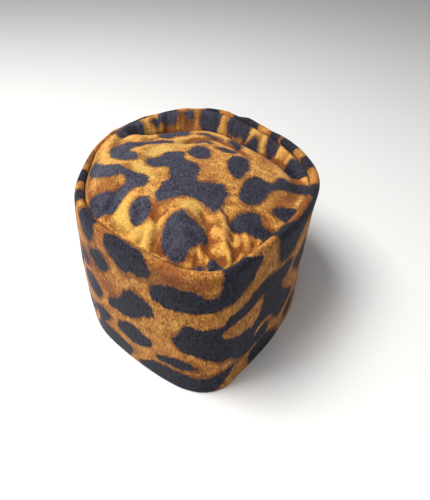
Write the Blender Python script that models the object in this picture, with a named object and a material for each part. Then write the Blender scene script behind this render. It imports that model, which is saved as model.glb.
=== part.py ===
"""A velvet kufi standing on its hem: an upright band with a rolled rim, and a gathered crown.

Metres, +Z up. The origin lies on the surface under the cap, in the middle of its outline.
The pointed front faces -Y, and +X is the wearer's left.
"""
import math

import bpy
import numpy as np

MM = 0.001

# Driving sizes, in millimetres
BAND_HEIGHT = 104.0      # hem to the crest of the rim
BAND_WALL = 3.0          # velvet, stiffening and turnings together
RIM_OUTER_TURN = 6.0     # height over which the outer face turns to the crest of the rim
RIM_INNER_TURN = 3.5     # height over which the crest turns down inside
RIM_TAPER = 9.0          # height over which the roll thins to the wall below it
CROWN_CLOTH = 1.8        # one sheet of velvet with its backing
SEAM_GAP = 0.3           # crown's edge to the inside of the rim
SEAM_MARGIN = 2.0        # level strip of the crown along its seam
DOME_TOP = (-20.0, -40.0)
DOME_RISE = 10.0         # top of the dome above the crest of the rim
DOME_FALL_X = 0.00153    # fall from the top, per square millimetre to the side and to the back
DOME_FALL_Y = 0.00074
CENTRE_X = 0.83          # where the tables' own axis stands, which centres the outline on the origin

# Facets
SECTORS = 132
OUTER_LEVELS = 5
INNER_LEVELS = 4
TURN_STEPS = 3
CROWN_RINGS_IN = (0.0, SEAM_MARGIN, 4.5, 7.5, 11.0, 15.0, 20.0, 26.0, 33.0, 40.0, 47.0, 54.0, 62.0)
LAST_RING = 0.88         # the innermost ring, as a share of the way from seam to middle
OUTLINE_STEP = 0.5       # degrees to either side, for the outline's direction
SHARP_EDGE = 60.0        # degrees, above which an edge of the band is shaded sharp

# The band's outline, seen from above. The rim's radius is measured from the tables' axis, and the
# wall's middle and hem stand out from the rim (+) or in from it (-). rim_rise is the crest of
# the rim above the band's height. The top edge is rolled inwards over rim_width, and the crown
# is sewn in there, seam_drop below the crest.
OUTLINE_COLUMNS = ("azimuth_deg", "rim_radius", "middle_out", "hem_out", "rim_rise", "rim_width", "seam_drop")
OUTLINE = (
    (0, 83.8, -1.6, -3.2, 1.0, 7.6, 6.0),
    (20, 84.4, -1.2, -2.4, 1.2, 7.8, 7.5),
    (40, 87.0, -0.6, -1.8, 1.4, 7.4, 7.5),
    (60, 92.6, 0.0, -1.4, 1.6, 6.2, 5.0),
    (80, 104.2, 0.2, -1.4, 1.6, 4.4, 2.2),
    (90, 108.8, 0.2, -1.4, 1.6, 4.0, 1.4),
    (100, 109.2, 0.2, -1.2, 1.2, 3.8, 0.8),
    (110, 107.0, 0.4, -1.0, 0.6, 3.8, 0.4),
    (120, 102.6, 0.6, -0.6, 0.4, 3.8, 0.2),
    (140, 94.0, 0.8, -0.4, 0.6, 3.8, 0.2),
    (160, 86.8, 0.8, 0.0, 0.6, 4.0, 0.8),
    (180, 83.6, 0.8, 0.6, 0.6, 5.6, 2.0),
    (200, 86.6, 1.6, 0.8, 0.4, 6.4, 3.0),
    (220, 91.0, 1.2, -0.8, 0.2, 6.0, 2.6),
    (240, 94.2, 0.4, -1.6, 0.0, 6.2, 2.2),
    (250, 97.6, 0.2, -1.4, 0.0, 6.2, 2.2),
    (260, 103.1, 0.0, -1.2, 0.0, 6.4, 2.2),
    (268, 107.6, 0.0, -0.4, 0.0, 6.2, 2.4),
    (275, 109.2, 0.0, 0.3, 0.0, 6.0, 2.6),
    (282, 106.4, 0.0, 0.8, 0.0, 5.8, 2.8),
    (290, 97.8, 0.0, 0.4, 0.0, 5.6, 3.0),
    (300, 90.1, 0.0, 0.0, 0.0, 6.0, 3.4),
    (310, 85.5, -0.4, -0.6, 0.0, 6.6, 4.0),
    (320, 82.9, -0.8, -1.6, 0.0, 7.0, 4.4),
    (340, 81.5, -1.0, -2.4, 0.4, 7.2, 5.0),
)

# Sections through the crown, inwards from its seam. The cloth swells up to the dome over
# swell_in. Behind, it is pushed down into a trough, deepest at trough_in and over at dome_in.
SECTION_COLUMNS = ("azimuth_deg", "swell_in", "trough_in", "dome_in", "trough_depth")
SECTIONS = (
    (0, 16, 8, 20, 4),
    (20, 20, 9, 25, 10),
    (40, 24, 12, 33, 17),
    (60, 29, 15, 38, 24),
    (80, 32, 17, 42, 27),
    (100, 32, 17, 46, 25),
    (120, 26, 15, 44, 18),
    (135, 18, 12, 34, 10),
    (150, 14, 9, 24, 3),
    (165, 12, 8, 20, 0),
    (185, 12, 8, 18, 0),
    (205, 16, 8, 18, 0),
    (225, 28, 9, 20, 0),
    (245, 38, 9, 20, 0),
    (265, 46, 9, 20, 0),
    (285, 44, 9, 20, 0),
    (305, 34, 9, 20, 0),
    (325, 24, 9, 20, 1),
    (345, 20, 9, 22, 2),
)

# Folds in the crown, each along a shallow bow from its outer end to its inner end.
FOLD_COLUMNS = ("out_x", "out_y", "in_x", "in_y", "bow", "half_width", "rise")
FOLDS = (
    (-14, -95, -25, -56, 2.5, 3.8, -3.6),
    (-6, -95, -7, -58, 0, 6.5, 3.6),
    (14, -94, 2, -58, 0, 3.8, -3.0),
    (20, -94, 13, -54, 1, 4.4, 2.4),
    (28, -91, 17, -54, 2, 3.8, -2.6),
    (34, -88, 26, -62, 0, 4.4, 1.8),
    (-34, -80, -36, -58, 0, 4.5, -1.8),
    (-44, -70, -40, -46, 0, 5.5, 1.6),
    (-58, -56, -46, -38, 0, 5.0, -2.2),
    (-52, 76, -74, 22, -5, 6.0, 5.0),
    (-58, 50, -64, -44, 9, 11.0, 3.0),
    (38, 78, 28, 58, 0, 4.8, 2.4),
    (52, 61, 38, 44, 0, 4.8, 2.4),
    (63, 45, 46, 31, 0, 4.6, 2.2),
    (70, 28, 54, 20, 0, 4.4, 1.8),
    (17, 96, 12, 74, 0, 4.8, 2.4),
    (-8, 98, -6, 78, 0, 4.8, 2.2),
    (-30, 90, -24, 68, 0, 4.8, 2.0),
)
FOLD_FADE_IN = 6.0       # a fold grows from nothing over this far from the seam

GOLDEN_VELVET = (0.52, 0.27, 0.06)
AMBER_VELVET = (0.42, 0.20, 0.05)


def table_column(table, columns, name):
    """One named column of a table, as an array."""
    return np.array([row[columns.index(name)] for row in table], float)


def round_table(table, columns, name, azimuth):
    """A column read smoothly all the way round, by cubic pieces between its rows."""
    at = table_column(table, columns, "azimuth_deg")
    value = table_column(table, columns, name)
    at = np.concatenate((at[-2:] - 360, at, at[:2] + 360))
    value = np.concatenate((value[-2:], value, value[:2]))
    slope = np.gradient(value, at)
    azimuth = np.mod(azimuth, 360.0)
    row = np.clip(np.searchsorted(at, azimuth, side="right") - 1, 0, len(at) - 2)
    span = at[row + 1] - at[row]
    t = (azimuth - at[row]) / span
    return ((1 + 2 * t) * (1 - t) ** 2 * value[row] + t * (1 - t) ** 2 * span * slope[row]
            + t * t * (3 - 2 * t) * value[row + 1] - t * t * (1 - t) * span * slope[row + 1])


def smooth_step(t):
    t = np.clip(t, 0.0, 1.0)
    return t * t * (3 - 2 * t)


def outline(name, azimuth):
    return round_table(OUTLINE, OUTLINE_COLUMNS, name, azimuth)


def wall_radius(azimuth, height):
    """The band's outer face, as a distance from the tables' axis."""
    t = np.clip(height / BAND_HEIGHT, 0.0, 1.0)
    return (outline("rim_radius", azimuth) + outline("hem_out", azimuth) * (1 - t)
            + outline("middle_out", azimuth) * 4 * t * (1 - t))


def outline_point(azimuth, height, inset):
    """A point of the wall, moved squarely inwards by the inset."""
    angle = np.radians(azimuth)
    radius = wall_radius(azimuth, height)
    ahead = wall_radius(azimuth + OUTLINE_STEP, height)
    behind = wall_radius(azimuth - OUTLINE_STEP, height)
    slope = (ahead - behind) / math.radians(2 * OUTLINE_STEP)
    along_x = slope * np.cos(angle) - radius * np.sin(angle)
    along_y = slope * np.sin(angle) + radius * np.cos(angle)
    length = np.hypot(along_x, along_y)
    x = radius * np.cos(angle) - inset * along_y / length
    y = radius * np.sin(angle) + inset * along_x / length
    return x, y


def sector_azimuths():
    """Azimuths that divide the rim into equal lengths, so that the pointed front is well covered."""
    fine = np.linspace(0.0, 360.0, 1441)
    x, y = outline_point(fine, BAND_HEIGHT, 0.0)
    length = np.concatenate(([0.0], np.cumsum(np.hypot(np.diff(x), np.diff(y)))))
    return np.interp(np.arange(SECTORS) * length[-1] / SECTORS, length, fine)


def band_rings(azimuth):
    """The wall's section, as rings of (inset, height): up the outside, over the rim, down inside."""
    half = outline("rim_width", azimuth) / 2
    shoulder = BAND_HEIGHT - RIM_OUTER_TURN
    rings = [(np.zeros(SECTORS), shoulder * level / OUTER_LEVELS) for level in range(OUTER_LEVELS)]
    for step in range(2 * TURN_STEPS + 1):
        angle = math.pi / 2 * step / TURN_STEPS
        turn = RIM_OUTER_TURN if step < TURN_STEPS else RIM_INNER_TURN
        rings.append((half - half * math.cos(angle), BAND_HEIGHT - turn * (1 - math.sin(angle))))
    inner_top = BAND_HEIGHT - RIM_INNER_TURN - RIM_TAPER
    for level in range(INNER_LEVELS, -1, -1):
        rings.append((np.full(SECTORS, BAND_WALL), inner_top * level / INNER_LEVELS))
    return rings


def fold_relief(x, y):
    """How far the folds lift or sink the crown at a point seen from above."""
    relief = np.zeros_like(x)
    for row in FOLDS:
        fold = dict(zip(FOLD_COLUMNS, row))
        run_x, run_y = fold["in_x"] - fold["out_x"], fold["in_y"] - fold["out_y"]
        length = math.hypot(run_x, run_y)
        along = ((x - fold["out_x"]) * run_x + (y - fold["out_y"]) * run_y) / length ** 2
        across = ((y - fold["out_y"]) * run_x - (x - fold["out_x"]) * run_y) / length
        across = across - fold["bow"] * 4 * along * (1 - along)
        fade = smooth_step((along + 0.15) / 0.35) * smooth_step((1.2 - along) / 0.5)
        relief += fold["rise"] * fade * np.exp(-(across / fold["half_width"]) ** 2)
    return relief


def dome_height(x, y):
    """The crown's broad swell, highest towards the front and the right hand, above the rim's crest."""
    top_x, top_y = DOME_TOP
    return DOME_RISE - DOME_FALL_X * (x - top_x) ** 2 - DOME_FALL_Y * (y - top_y) ** 2


def crown_height(azimuth, inward, x, y):
    """The crown's upper face above the hem, folds left out."""
    section = {name: round_table(SECTIONS, SECTION_COLUMNS, name, azimuth) for name in SECTION_COLUMNS[1:]}
    inward = np.maximum(inward - SEAM_MARGIN, 0.0)
    swell = 1.0 - np.clip(1.0 - inward / section["swell_in"], 0.0, 1.0) ** 2
    down = smooth_step(inward / section["trough_in"])
    up = smooth_step((inward - section["trough_in"]) / (section["dome_in"] - section["trough_in"]))
    seam = outline("rim_rise", azimuth) - outline("seam_drop", azimuth)
    rise = seam + (dome_height(x, y) - seam) * swell - section["trough_depth"] * (down - up)
    return BAND_HEIGHT + rise


def crown_edge(azimuth):
    return outline_point(azimuth, BAND_HEIGHT, outline("rim_width", azimuth) + SEAM_GAP)


def crown_ring(azimuth, inward):
    """One ring of the crown's upper face, a given way in from the seam."""
    edge_x, edge_y = crown_edge(azimuth)
    share = inward / np.hypot(edge_x, edge_y)
    x, y = edge_x * (1 - share), edge_y * (1 - share)
    z = crown_height(azimuth, inward, x, y)
    z = z + fold_relief(x, y) * smooth_step((inward - SEAM_MARGIN) / FOLD_FADE_IN)
    return np.stack((x, y, z), axis=1)


def velvet(name, colour):
    material = bpy.data.materials.new(name)
    material.use_nodes = True
    shader = material.node_tree.nodes["Principled BSDF"]
    shader.inputs["Base Color"].default_value = (*colour, 1.0)
    shader.inputs["Roughness"].default_value = 0.9
    shader.inputs["Metallic"].default_value = 0.0
    return material


def add_object(name, points, faces, material):
    """A smooth-shaded object from points in millimetres."""
    mesh = bpy.data.meshes.new(name)
    mesh.from_pydata([((x + CENTRE_X) * MM, y * MM, z * MM) for x, y, z in points], [], faces)
    mesh.materials.append(material)
    mesh.shade_smooth()
    obj = bpy.data.objects.new(name, mesh)
    bpy.context.scene.collection.objects.link(obj)
    return obj


def make_side_band():
    """The wall's section carried round the outline and closed on itself."""
    azimuth = sector_azimuths()
    lift = 1.0 + outline("rim_rise", azimuth) / BAND_HEIGHT
    points = []
    for inset, height in band_rings(azimuth):
        x, y = outline_point(azimuth, height, inset)
        points.extend(zip(x, y, height * lift))
    rows = len(points) // SECTORS
    faces = []
    for row in range(rows):
        for sector in range(SECTORS):
            turn = (sector + 1) % SECTORS
            above = (row + 1) % rows
            faces.append((row * SECTORS + sector, row * SECTORS + turn,
                          above * SECTORS + turn, above * SECTORS + sector))
    band = add_object("side_band", points, faces, velvet("band_velvet", AMBER_VELVET))
    band.data.set_sharp_from_angle(angle=math.radians(SHARP_EDGE))
    return band


def make_crown_top():
    """The upper face in rings from the seam to the middle, given its thickness by Solidify."""
    azimuth = sector_azimuths()
    reach = np.hypot(*crown_edge(azimuth))
    rings = [crown_ring(azimuth, np.full(SECTORS, inward)) for inward in CROWN_RINGS_IN]
    rings.append(crown_ring(azimuth, reach * LAST_RING))
    points = [tuple(p) for ring in rings for p in ring]
    points.append(tuple(crown_ring(azimuth, reach)[0]))
    faces = []
    for ring in range(len(rings) - 1):
        for sector in range(SECTORS):
            turn = (sector + 1) % SECTORS
            faces.append((ring * SECTORS + sector, ring * SECTORS + turn,
                          (ring + 1) * SECTORS + turn, (ring + 1) * SECTORS + sector))
    last = (len(rings) - 1) * SECTORS
    for sector in range(SECTORS):
        faces.append((last + sector, last + (sector + 1) % SECTORS, len(points) - 1))
    crown = add_object("crown_top", points, faces, velvet("crown_velvet", GOLDEN_VELVET))
    cloth = crown.modifiers.new("cloth", "SOLIDIFY")
    cloth.thickness = CROWN_CLOTH * MM
    cloth.offset = -1.0
    return crown


def main():
    for obj in list(bpy.data.objects):
        bpy.data.objects.remove(obj)
    make_side_band()
    make_crown_top()


main()
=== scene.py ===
"""The looks of a velvet kufi in a leopard print: its band, its gathered crown, the light and the camera."""
import math

import bpy
import numpy as np
from mathutils import Matrix, Vector


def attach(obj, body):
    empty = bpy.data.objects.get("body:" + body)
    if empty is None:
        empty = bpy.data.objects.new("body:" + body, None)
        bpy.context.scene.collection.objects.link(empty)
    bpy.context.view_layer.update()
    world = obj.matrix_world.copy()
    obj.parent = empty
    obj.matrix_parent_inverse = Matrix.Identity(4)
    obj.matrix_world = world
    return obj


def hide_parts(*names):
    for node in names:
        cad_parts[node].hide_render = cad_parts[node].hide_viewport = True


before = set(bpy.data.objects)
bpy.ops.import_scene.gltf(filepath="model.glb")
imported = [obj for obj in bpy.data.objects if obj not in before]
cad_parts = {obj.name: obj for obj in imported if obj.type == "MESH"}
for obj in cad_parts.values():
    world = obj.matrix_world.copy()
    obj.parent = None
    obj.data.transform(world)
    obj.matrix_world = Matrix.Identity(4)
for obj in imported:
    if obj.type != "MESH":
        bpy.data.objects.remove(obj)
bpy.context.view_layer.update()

MM = 0.001
TINY = 1e-9              # added where a division could be by nought

# Sizes that the solids have too, in millimetres
BAND_HEIGHT = 104.0
BAND_WALL = 3.0
RIM_OUTER_TURN = 6.0
RIM_INNER_TURN = 3.5
RIM_TAPER = 9.0
CROWN_CLOTH = 1.8
SEAM_GAP = 0.3
DOME_TOP = (-20.0, -40.0)
DOME_RISE = 10.0
DOME_FALL_X = 0.00153
DOME_FALL_Y = 0.00074
CENTRE_X = 0.83

# The outline seen from above: the rim's radius, how far the wall stands out at half height and at the
# hem, and the rim's rise, width and drop to the seam. It is the solids' own, but from azimuth 0 to 60
# the seam lies 1 to 3 mm higher here.
OUTLINE_COLUMNS = ("azimuth_deg", "rim_radius", "middle_out", "hem_out", "rim_rise", "rim_width",
                   "seam_drop")
OUTLINE = (
    (0, 83.8, -1.6, -3.2, 1.0, 7.6, 4.8),
    (20, 84.4, -1.2, -2.4, 1.2, 7.8, 4.8),
    (40, 87.0, -0.6, -1.8, 1.4, 7.4, 4.6),
    (60, 92.6, 0.0, -1.4, 1.6, 6.2, 3.6),
    (80, 104.2, 0.2, -1.4, 1.6, 4.4, 2.2),
    (90, 108.8, 0.2, -1.4, 1.6, 4.0, 1.4),
    (100, 109.2, 0.2, -1.2, 1.2, 3.8, 0.8),
    (110, 107.0, 0.4, -1.0, 0.6, 3.8, 0.4),
    (120, 102.6, 0.6, -0.6, 0.4, 3.8, 0.2),
    (140, 94.0, 0.8, -0.4, 0.6, 3.8, 0.2),
    (160, 86.8, 0.8, 0.0, 0.6, 4.0, 0.8),
    (180, 83.6, 0.8, 0.6, 0.6, 5.6, 2.0),
    (200, 86.6, 1.6, 0.8, 0.4, 6.4, 3.0),
    (220, 91.0, 1.2, -0.8, 0.2, 6.0, 2.6),
    (240, 94.2, 0.4, -1.6, 0.0, 6.2, 2.2),
    (250, 97.6, 0.2, -1.4, 0.0, 6.2, 2.2),
    (260, 103.1, 0.0, -1.2, 0.0, 6.4, 2.2),
    (268, 107.6, 0.0, -0.4, 0.0, 6.2, 2.4),
    (275, 109.2, 0.0, 0.3, 0.0, 6.0, 2.6),
    (282, 106.4, 0.0, 0.8, 0.0, 5.8, 2.8),
    (290, 97.8, 0.0, 0.4, 0.0, 5.6, 3.0),
    (300, 90.1, 0.0, 0.0, 0.0, 6.0, 3.4),
    (310, 85.5, -0.4, -0.6, 0.0, 6.6, 4.0),
    (320, 82.9, -0.8, -1.6, 0.0, 7.0, 4.4),
    (340, 81.5, -1.0, -2.4, 0.4, 7.2, 5.0),
)

# The crown from its seam inwards, as in the solids: where it has swelled to the dome's height, where
# it dips deepest behind the rim, where it has come up again, and how deep it dips
SECTION_COLUMNS = ("azimuth_deg", "swell_in", "trough_in", "dome_in", "trough_depth")
SECTIONS = (
    (0, 16, 8, 20, 4),
    (20, 20, 9, 25, 10),
    (40, 24, 12, 33, 17),
    (60, 29, 15, 38, 24),
    (80, 32, 17, 42, 27),
    (100, 32, 17, 46, 25),
    (120, 26, 15, 44, 18),
    (135, 18, 12, 34, 10),
    (150, 14, 9, 24, 3),
    (165, 12, 8, 20, 0),
    (185, 12, 8, 18, 0),
    (205, 16, 8, 18, 0),
    (225, 28, 9, 20, 0),
    (245, 38, 9, 20, 0),
    (265, 46, 9, 20, 0),
    (285, 44, 9, 20, 0),
    (305, 34, 9, 20, 0),
    (325, 24, 9, 20, 1),
    (345, 20, 9, 22, 2),
)

# The crown's folds, from the outer end to the inner end. crease is 0 for a round fold and 1 for
# one with a sharp bottom or crest. The solids have all but the thin grooves that start at (-18, 27)
# and (1, 46), and many of theirs are wider.
FOLD_COLUMNS = ("out_x", "out_y", "in_x", "in_y", "bow", "half_width", "rise", "crease")
FOLDS = (
    (-14, -95, -25, -56, 2.5, 4.0, -3.4, 0.35),
    (-6, -95, -7, -58, 0, 6.5, 3.6, 0),
    (11, -95, 3, -58, 0, 2.6, -3.2, 0.6),
    (20, -94, 13, -54, 1, 3.2, 2.4, 0.2),
    (28, -91, 17, -54, 2, 2.8, -3.0, 0.6),
    (34, -88, 26, -62, 0, 3.4, 1.8, 0.2),
    (-34, -80, -36, -58, 0, 4.0, -1.8, 0.4),
    (-44, -70, -40, -46, 0, 5.5, 1.6, 0),
    (-58, -56, -46, -38, 0, 4.5, -2.2, 0.3),
    (-18, 27, 4, 46, 1, 3.0, -2.4, 0.7),
    (1, 46, 33, 16, 4, 2.8, -2.6, 0.7),
    (-52, 76, -74, 22, -5, 6.0, 5.0, 0),
    (-58, 50, -64, -44, 9, 11.0, 3.0, 0),
    (38, 78, 28, 58, 0, 3.8, 2.6, 0.3),
    (52, 61, 38, 44, 0, 3.8, 2.6, 0.3),
    (63, 45, 46, 31, 0, 3.6, 2.4, 0.3),
    (70, 28, 54, 20, 0, 3.6, 2.0, 0.3),
    (17, 96, 12, 74, 0, 4.0, 2.6, 0.3),
    (-8, 98, -6, 78, 0, 4.5, 2.2, 0.3),
    (-30, 90, -24, 68, 0, 4.5, 2.0, 0.3),
)

# How high the gathers along the crown's seam stand, and how far in they run. The solids leave them out.
GATHER_COLUMNS = ("azimuth_deg", "height", "reach")
GATHERS = (
    (0, 1.6, 18),
    (30, 2.6, 26),
    (60, 2.8, 28),
    (90, 2.2, 24),
    (120, 1.7, 20),
    (150, 1.3, 16),
    (190, 0.9, 12),
    (230, 1.5, 18),
    (265, 2.6, 26),
    (290, 2.2, 22),
    (320, 1.3, 16),
)

# The print. Spots are charted outlines, x, y, x, y and so on, in millimetres: on the band along
# it from the front edge and up from the hem, on the crown in plan.
BAND_SPOTS = (
    (-95, 99, -97, 107, -92, 116, -80, 116, -77, 106, -75, 100, -76, 97, -79, 91, -83, 89, -87, 90,
     -90, 94),
    (-85, 80, -83, 83, -78, 86, -74, 87, -70, 87, -67, 85, -63, 81, -64, 77, -67, 74, -71, 71, -74, 71,
     -77, 73, -79, 76, -83, 77),
    (-66, 98, -66, 103, -63, 106, -57, 107, -49, 107, -41, 106, -35, 105, -31, 101, -29, 97, -28, 95,
     -30, 91, -34, 89, -38, 86, -43, 88, -47, 85, -50, 84, -53, 85, -56, 88, -60, 90, -63, 93),
    (-30, 82, -29, 86, -26, 88, -23, 90, -20, 91, -15, 93, -9, 92, -3, 93, 1, 91, 3, 88, 8, 87, 12, 89,
     13, 93, 14, 99, 15, 116, 29, 116, 34, 106, 40, 103, 46, 102, 47, 97, 44, 94, 42, 90, 40, 87, 38, 85,
     32, 82, 24, 80, 18, 79, 11, 77, 4, 76, -3, 75, -11, 74, -16, 74, -20, 72, -24, 74, -29, 75, -30, 78),
    (-71, 45, -70, 49, -68, 52, -63, 54, -59, 57, -55, 61, -53, 67, -49, 70, -45, 72, -40, 72, -34, 70,
     -29, 68, -28, 65, -27, 61, -30, 58, -34, 56, -38, 54, -40, 51, -43, 49, -46, 47, -51, 45, -55, 43,
     -61, 44, -64, 44, -68, 42),
    (-99, 52, -97, 57, -93, 60, -89, 61, -84, 60, -80, 58, -78, 55, -75, 52, -76, 48, -78, 45, -80, 42,
     -86, 42, -92, 43, -96, 45, -99, 47),
    (-99, 69, -96, 77, -91, 78, -87, 75, -85, 70, -86, 67, -90, 63, -94, 64, -98, 66),
    (-64, 29, -63, 32, -59, 35, -54, 39, -50, 40, -46, 40, -42, 39, -39, 37, -34, 36, -30, 34, -32, 29,
     -35, 26, -40, 23, -44, 22, -49, 20, -53, 22, -59, 24, -63, 26),
    (-90, 27, -89, 30, -86, 32, -82, 33, -79, 35, -74, 33, -71, 31, -71, 29, -73, 25, -76, 23, -79, 20,
     -80, 15, -88, 12, -86, 20, -86, 24),
    (-95, 8, -88, 11, -83, 17, -79, 18, -74, 18, -68, 17, -62, 17, -55, 15, -51, 15, -50, 11, -52, 7,
     -54, 2, -61, -4, -72, -4, -83, -4, -93, 0),
    (-45, 4, -43, 7, -40, 10, -36, 13, -33, 15, -30, 16, -24, 17, -19, 18, -14, 18, -10, 17, -3, 16, 2, 15,
     8, 16, 13, 17, 19, 20, 24, 21, 28, 20, 28, 17, 24, 14, 21, 10, 18, 6, 14, 2, 11, -4, -44, -4),
    (-30, 21, -29, 23, -26, 26, -22, 27, -17, 29, -13, 31, -8, 30, -3, 28, 0, 26, 1, 24, -1, 23, -5, 22,
     -10, 20, -15, 21, -21, 20, -26, 20),
    (-17, 49, -15, 51, -12, 53, -10, 57, -9, 61, -7, 64, -2, 64, 0, 62, 8, 63, 15, 63, 17, 64, 19, 68,
     22, 70, 27, 70, 32, 70, 36, 71, 40, 74, 45, 76, 51, 77, 58, 77, 62, 75, 69, 75, 76, 75, 82, 74, 86, 71,
     87, 69, 84, 64, 76, 60, 73, 58, 78, 52, 84, 46, 90, 42, 96, 37, 100, 33, 98, 29, 90, 25, 83, 22,
     77, 23, 73, 26, 70, 29, 67, 33, 63, 32, 64, 27, 62, 21, 58, 19, 51, 19, 47, 18, 43, 18, 40, 17, 36, 18,
     33, 18, 30, 22, 27, 26, 24, 29, 17, 30, 11, 32, 5, 35, 0, 37, -4, 38, -7, 39, -11, 41, -14, 43,
     -15, 46),
    (44, 9, 45, 14, 49, 17, 53, 18, 58, 18, 61, 19, 64, 18, 69, 16, 73, 12, 77, 10, 79, 7, 80, 4, 78, -3,
     70, -4, 46, -4, 44, 4),
    (62, 98, 61, 104, 61, 116, 72, 116, 74, 109, 80, 105, 90, 104, 104, 104, 113, 105, 117, 108, 118, 116,
     128, 116, 129, 106, 133, 99, 134, 92, 128, 89, 118, 92, 110, 95, 104, 97, 98, 94, 93, 90, 91, 87,
     89, 84, 86, 80, 82, 79, 76, 79, 71, 79, 67, 81, 66, 85, 64, 89, 63, 94),
    (90, 62, 93, 65, 97, 68, 101, 69, 105, 73, 112, 76, 118, 60, 112, 50, 106, 46, 102, 50, 98, 54, 94, 57),
    (92, 11, 94, 17, 98, 20, 102, 21, 108, 24, 112, 19, 108, 12, 102, 8, 95, 8),
)
# Spots on and over the rim, away from the front
RIM_SPOTS = (
    (-119, 97, -120, 116, -108, 116, -107, 99, -111, 92, -116, 92),
    (-144, 94, -145, 104, -143, 116, -131, 116, -129, 104, -131, 92, -137, 86),
    (-172, 88, -174, 104, -160, 105, -148, 104, -147, 92, -152, 82, -164, 80),
    (-246, 92, -247, 116, -228, 116, -226, 98, -232, 86, -240, 82),
    (-276, 96, -278, 116, -261, 116, -259, 100, -264, 90, -272, 88),
    (278, 98, 277, 116, 291, 116, 292, 96, 288, 86, 282, 88),
    (234, 100, 233, 116, 262, 116, 263, 98, 259, 88, 253, 84, 248, 90, 240, 88),
    (208, 98, 207, 116, 218, 116, 219, 100, 215, 92, 211, 92),
    (184, 94, 183, 116, 204, 116, 204, 100, 200, 90, 194, 82, 188, 84),
    (154, 96, 153, 116, 171, 116, 172, 98, 168, 86, 160, 82, 155, 88),
)
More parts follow.
